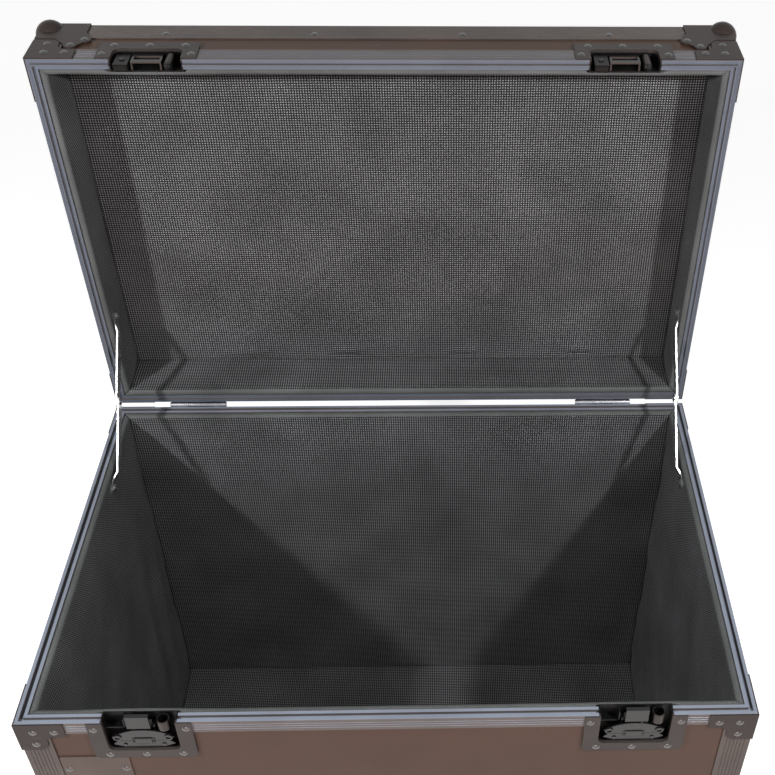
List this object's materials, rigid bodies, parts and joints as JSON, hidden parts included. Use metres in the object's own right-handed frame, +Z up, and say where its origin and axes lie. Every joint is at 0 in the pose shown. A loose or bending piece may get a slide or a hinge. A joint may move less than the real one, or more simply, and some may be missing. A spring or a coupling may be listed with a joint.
{
  "type": "flight case trunk",
  "caption": "Black plywood road trunk with metal edging, ball corners, padded lining, a hinged lid on folding stays, recessed butterfly latches and side handles.",
  "frame": {"origin": "floor level, at the middle of the open trunk's bounding box; the base's own middle is 45.9 mm in front of it", "axes": "+X to the right seen from the front, +Y to the back where the lid is hinged, +Z up"},
  "size_m": [0.818, 0.6257, 1.1403],
  "materials": {
    "laminate": "satin laminate on birch plywood",
    "extrusion": "satin black powder coat",
    "corner": "satin black powder coat, slightly textured",
    "dish": "gloss black",
    "latch": "gloss black",
    "rivet": "satin black",
    "lining": "black textured foam cloth",
    "zinc": "bright zinc plate",
    "hinge": "zinc plate",
    "grip": "matt",
    "plate": "black anodised, bare"
  },
  "bodies": {
    "base": {"base_floor_panel": "laminate", "base_front_panel": "laminate", "base_back_panel": "laminate", "base_left_panel": "laminate", "base_right_panel": "laminate", "base_wall_lining": "lining", "base_floor_lining": "lining", "base_rim": "extrusion", "base_bottom_edges": "extrusion", "base_uprights": "extrusion", "base_ball_corners": "corner", "base_braces": "corner", "base_rivets": "rivet", "name_plate": "plate", "hinge_pins": "hinge", "hinge_left_base_leaf": "hinge", "hinge_right_base_leaf": "hinge", "stay_base_studs": "zinc", "latch_left_base_dish": "dish", "latch_left_chassis": "latch", "latch_left_hub": "latch", "latch_right_base_dish": "dish", "latch_right_chassis": "latch", "latch_right_hub": "latch", "handle_left_dish": "dish", "handle_right_dish": "dish"},
    "lid": {"lid_top_panel": "laminate", "lid_front_panel": "laminate", "lid_back_panel": "laminate", "lid_left_panel": "laminate", "lid_right_panel": "laminate", "lid_wall_lining": "lining", "lid_top_lining": "lining", "lid_rim": "extrusion", "lid_top_edges": "extrusion", "lid_uprights": "extrusion", "lid_ball_corners": "corner", "lid_braces": "corner", "lid_rivets": "rivet", "hinge_left_lid_leaf": "hinge", "hinge_right_lid_leaf": "hinge", "stay_lid_studs": "zinc", "latch_left_lid_dish": "dish", "latch_left_strike": "latch", "latch_right_lid_dish": "dish", "latch_right_strike": "latch"},
    "stay_left_lower": {"stay_left_lower_bar": "zinc"},
    "stay_left_upper": {"stay_left_upper_bar": "zinc"},
    "stay_right_lower": {"stay_right_lower_bar": "zinc"},
    "stay_right_upper": {"stay_right_upper_bar": "zinc"},
    "latch_left_hook": {"latch_left_hook": "latch"},
    "latch_left_upper_wing": {"latch_left_upper_wing": "latch"},
    "latch_left_lower_wing": {"latch_left_lower_wing": "latch"},
    "latch_right_hook": {"latch_right_hook": "latch"},
    "latch_right_upper_wing": {"latch_right_upper_wing": "latch"},
    "latch_right_lower_wing": {"latch_right_lower_wing": "latch"},
    "handle_left": {"handle_left_bail": "latch", "handle_left_grip": "grip"},
    "handle_right": {"handle_right_bail": "latch", "handle_right_grip": "grip"}
  },
  "joints": [
    {"name": "lid_hinge", "type": "hinge", "parent": "base", "child": "lid", "pos_m": [0, 0.21711, 0.608], "axis": [1, 0, 0], "range_deg": [0, 88]},
    {"name": "stay_left_lower_pivot", "type": "hinge", "parent": "base", "child": "stay_left_lower", "pos_m": [-0.38, 0.07511, 0.584], "axis": [1, 0, 0], "range_deg": [0, 122.06]},
    {"name": "stay_left_upper_pivot", "type": "hinge", "parent": "lid", "child": "stay_left_upper", "pos_m": [-0.38, 0.23614, 0.75075], "axis": [1, 0, 0], "range_deg": [-122.06, 0]},
    {"name": "stay_right_lower_pivot", "type": "hinge", "parent": "base", "child": "stay_right_lower", "pos_m": [0.38, 0.07511, 0.584], "axis": [1, 0, 0], "range_deg": [0, 122.06]},
    {"name": "stay_right_upper_pivot", "type": "hinge", "parent": "lid", "child": "stay_right_upper", "pos_m": [0.38, 0.23614, 0.75075], "axis": [1, 0, 0], "range_deg": [-122.06, 0]},
    {"name": "latch_left_hook_slide", "type": "slide", "parent": "base", "child": "latch_left_hook", "axis": [0, 0.7295, -0.6839], "range_m": [0, 0.00439]},
    {"name": "latch_left_upper_wing_fold", "type": "hinge", "parent": "base", "child": "latch_left_upper_wing", "pos_m": [-0.268, -0.30179, 0.5756], "axis": [1, 0, 0], "range_deg": [0, 85]},
    {"name": "latch_left_lower_wing_fold", "type": "hinge", "parent": "base", "child": "latch_left_lower_wing", "pos_m": [-0.268, -0.30179, 0.5704], "axis": [-1, 0, 0], "range_deg": [0, 85]},
    {"name": "latch_right_hook_slide", "type": "slide", "parent": "base", "child": "latch_right_hook", "axis": [0, 0.7295, -0.6839], "range_m": [0, 0.00439]},
    {"name": "latch_right_upper_wing_fold", "type": "hinge", "parent": "base", "child": "latch_right_upper_wing", "pos_m": [0.268, -0.30179, 0.5756], "axis": [1, 0, 0], "range_deg": [0, 85]},
    {"name": "latch_right_lower_wing_fold", "type": "hinge", "parent": "base", "child": "latch_right_lower_wing", "pos_m": [0.268, -0.30179, 0.5704], "axis": [-1, 0, 0], "range_deg": [0, 85]},
    {"name": "handle_left_swing", "type": "hinge", "parent": "base", "child": "handle_left", "pos_m": [-0.3937, -0.04589, 0.386], "axis": [0, 1, 0], "range_deg": [0, 95], "stiffness_Nm_per_rad": 0.25, "springref_deg": -17.19},
    {"name": "handle_right_swing", "type": "hinge", "parent": "base", "child": "handle_right", "pos_m": [0.3937, -0.04589, 0.386], "axis": [0, -1, 0], "range_deg": [0, 95], "stiffness_Nm_per_rad": 0.25, "springref_deg": -17.19}
  ],
  "couplings": [
    {"joint": "stay_left_lower_pivot", "follows": "lid_hinge", "ratio": 1.3869},
    {"joint": "stay_left_upper_pivot", "follows": "lid_hinge", "ratio": -1.3869},
    {"joint": "stay_right_lower_pivot", "follows": "lid_hinge", "ratio": 1.3869},
    {"joint": "stay_right_upper_pivot", "follows": "lid_hinge", "ratio": -1.3869}
  ]
}
